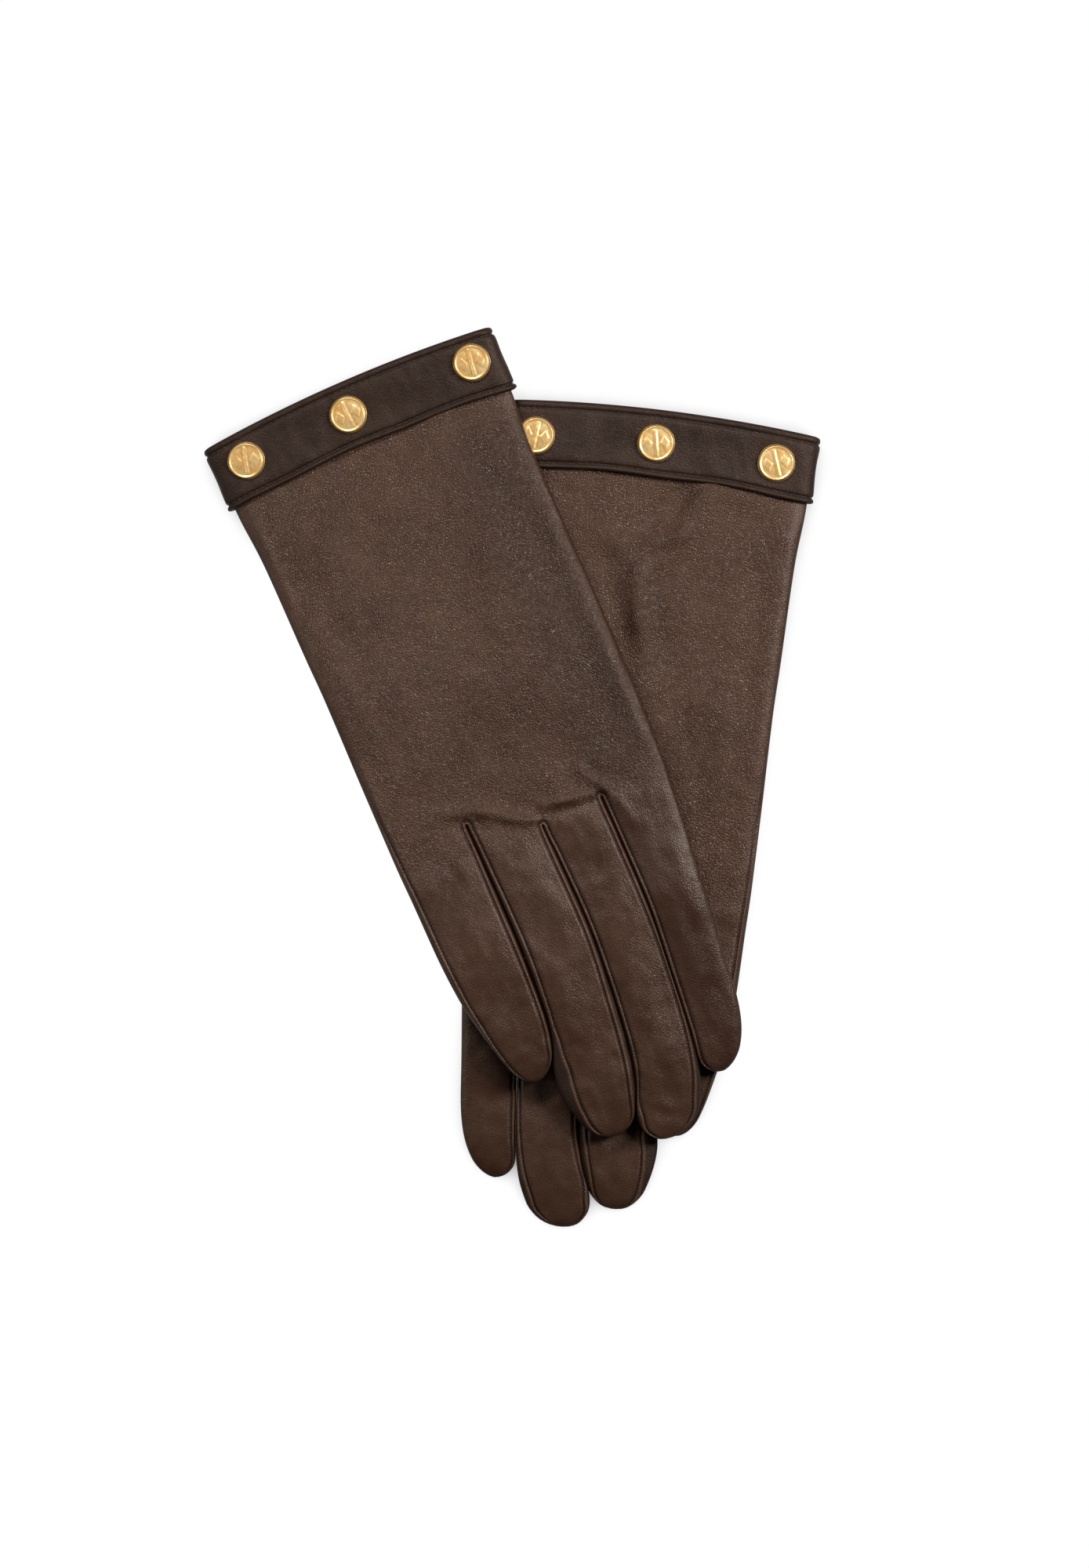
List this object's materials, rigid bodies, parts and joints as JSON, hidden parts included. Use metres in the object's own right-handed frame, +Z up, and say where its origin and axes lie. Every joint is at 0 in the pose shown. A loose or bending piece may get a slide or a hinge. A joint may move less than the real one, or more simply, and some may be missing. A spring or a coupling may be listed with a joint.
{
  "type": "pair of leather gloves",
  "caption": "Pair of short dark brown leather dress gloves with studded cuff bands, the right glove lying across the left, fingers and cuffs able to bend.",
  "frame": {"origin": "on the ground, under the middle of the pair's bounding box", "axes": "+Z up, the backs of both hands face up; fingers point towards -Y, cuffs towards +Y; the upper (right-hand) glove's cuff is on the -X side"},
  "size_m": [0.1984, 0.2896, 0.0292],
  "materials": {
    "hand_leather": "satin, fine grain",
    "band_leather": "satin, fine grain",
    "lining": "matt knitted silk",
    "thread": "matt",
    "stud_metal": "polished, gold plated"
  },
  "bodies": {
    "left_hand": {"left_palm": "hand_leather", "left_palm_lining": "lining"},
    "left_cuff": {"left_gauntlet": "hand_leather", "left_gauntlet_lining": "lining", "left_cuff_band": "band_leather", "left_cuff_stitching": "thread", "left_stud_caps": "stud_metal", "left_stud_washers": "stud_metal"},
    "left_index": {"left_index_finger": "hand_leather", "left_index_finger_lining": "lining", "left_index_fourchette_near_middle": "hand_leather"},
    "left_middle": {"left_middle_finger": "hand_leather", "left_middle_finger_lining": "lining", "left_middle_fourchette_near_index": "hand_leather", "left_middle_fourchette_near_ring": "hand_leather"},
    "left_ring": {"left_ring_finger": "hand_leather", "left_ring_finger_lining": "lining", "left_ring_fourchette_near_middle": "hand_leather", "left_ring_fourchette_near_little": "hand_leather"},
    "left_little": {"left_little_finger": "hand_leather", "left_little_finger_lining": "lining", "left_little_fourchette_near_ring": "hand_leather"},
    "left_thumb": {"left_thumb": "hand_leather", "left_thumb_lining": "lining"},
    "right_hand": {"right_palm": "hand_leather", "right_palm_lining": "lining"},
    "right_cuff": {"right_gauntlet": "hand_leather", "right_gauntlet_lining": "lining", "right_cuff_band": "band_leather", "right_cuff_stitching": "thread", "right_stud_caps": "stud_metal", "right_stud_washers": "stud_metal"},
    "right_index": {"right_index_finger": "hand_leather", "right_index_finger_lining": "lining", "right_index_fourchette_near_middle": "hand_leather"},
    "right_middle": {"right_middle_finger": "hand_leather", "right_middle_finger_lining": "lining", "right_middle_fourchette_near_index": "hand_leather", "right_middle_fourchette_near_ring": "hand_leather"},
    "right_ring": {"right_ring_finger": "hand_leather", "right_ring_finger_lining": "lining", "right_ring_fourchette_near_middle": "hand_leather", "right_ring_fourchette_near_little": "hand_leather"},
    "right_little": {"right_little_finger": "hand_leather", "right_little_finger_lining": "lining", "right_little_fourchette_near_ring": "hand_leather"},
    "right_thumb": {"right_thumb": "hand_leather", "right_thumb_lining": "lining"}
  },
  "joints": [
    {"name": "lift_apart", "type": "slide", "parent": "left_hand", "child": "right_hand", "axis": [0, 0, 1], "range_m": [0, 0.2]},
    {"name": "left_wrist", "type": "hinge", "parent": "left_hand", "child": "left_cuff", "pos_m": [0.03842, 0.02952, 0.0052], "axis": [-0.9925, 0.1219, 0], "range_deg": [0, 70]},
    {"name": "left_index_knuckle", "type": "hinge", "parent": "left_hand", "child": "left_index", "pos_m": [-0.00395, -0.03288, 0.0054], "axis": [0.9925, -0.1219, 0], "range_deg": [0, 80]},
    {"name": "left_middle_knuckle", "type": "hinge", "parent": "left_hand", "child": "left_middle", "pos_m": [0.01774, -0.03555, 0.0054], "axis": [0.9925, -0.1219, 0], "range_deg": [0, 80]},
    {"name": "left_ring_knuckle", "type": "hinge", "parent": "left_hand", "child": "left_ring", "pos_m": [0.03913, -0.03817, 0.0054], "axis": [0.9925, -0.1219, 0], "range_deg": [0, 80]},
    {"name": "left_little_knuckle", "type": "hinge", "parent": "left_hand", "child": "left_little", "pos_m": [0.0634, -0.04115, 0.0054], "axis": [0.9925, -0.1219, 0], "range_deg": [0, 80]},
    {"name": "left_thumb_swing", "type": "hinge", "parent": "left_hand", "child": "left_thumb", "pos_m": [0.00788, 0.0105, 0.0025], "axis": [0, 0, -1], "range_deg": [0, 105]},
    {"name": "right_wrist", "type": "hinge", "parent": "right_hand", "child": "right_cuff", "pos_m": [-0.01863, 0.04549, 0.0272], "axis": [0.9191, 0.3939, 0], "range_deg": [0, 70]},
    {"name": "right_index_knuckle", "type": "hinge", "parent": "right_hand", "child": "right_index", "pos_m": [0.03947, -0.00262, 0.0288], "axis": [-0.9191, -0.3939, 0], "range_deg": [0, 80]},
    {"name": "right_middle_knuckle", "type": "hinge", "parent": "right_hand", "child": "right_middle", "pos_m": [0.01939, -0.01122, 0.0288], "axis": [-0.9191, -0.3939, 0], "range_deg": [0, 80]},
    {"name": "right_ring_knuckle", "type": "hinge", "parent": "right_hand", "child": "right_ring", "pos_m": [-0.00042, -0.01971, 0.0288], "axis": [-0.9191, -0.3939, 0], "range_deg": [0, 80]},
    {"name": "right_little_knuckle", "type": "hinge", "parent": "right_hand", "child": "right_little", "pos_m": [-0.02289, -0.02935, 0.0288], "axis": [-0.9191, -0.3939, 0], "range_deg": [0, 80]},
    {"name": "right_thumb_swing", "type": "hinge", "parent": "right_hand", "child": "right_thumb", "pos_m": [0.01601, 0.03574, 0.0173], "axis": [0, 0, 1], "range_deg": [0, 105]}
  ]
}
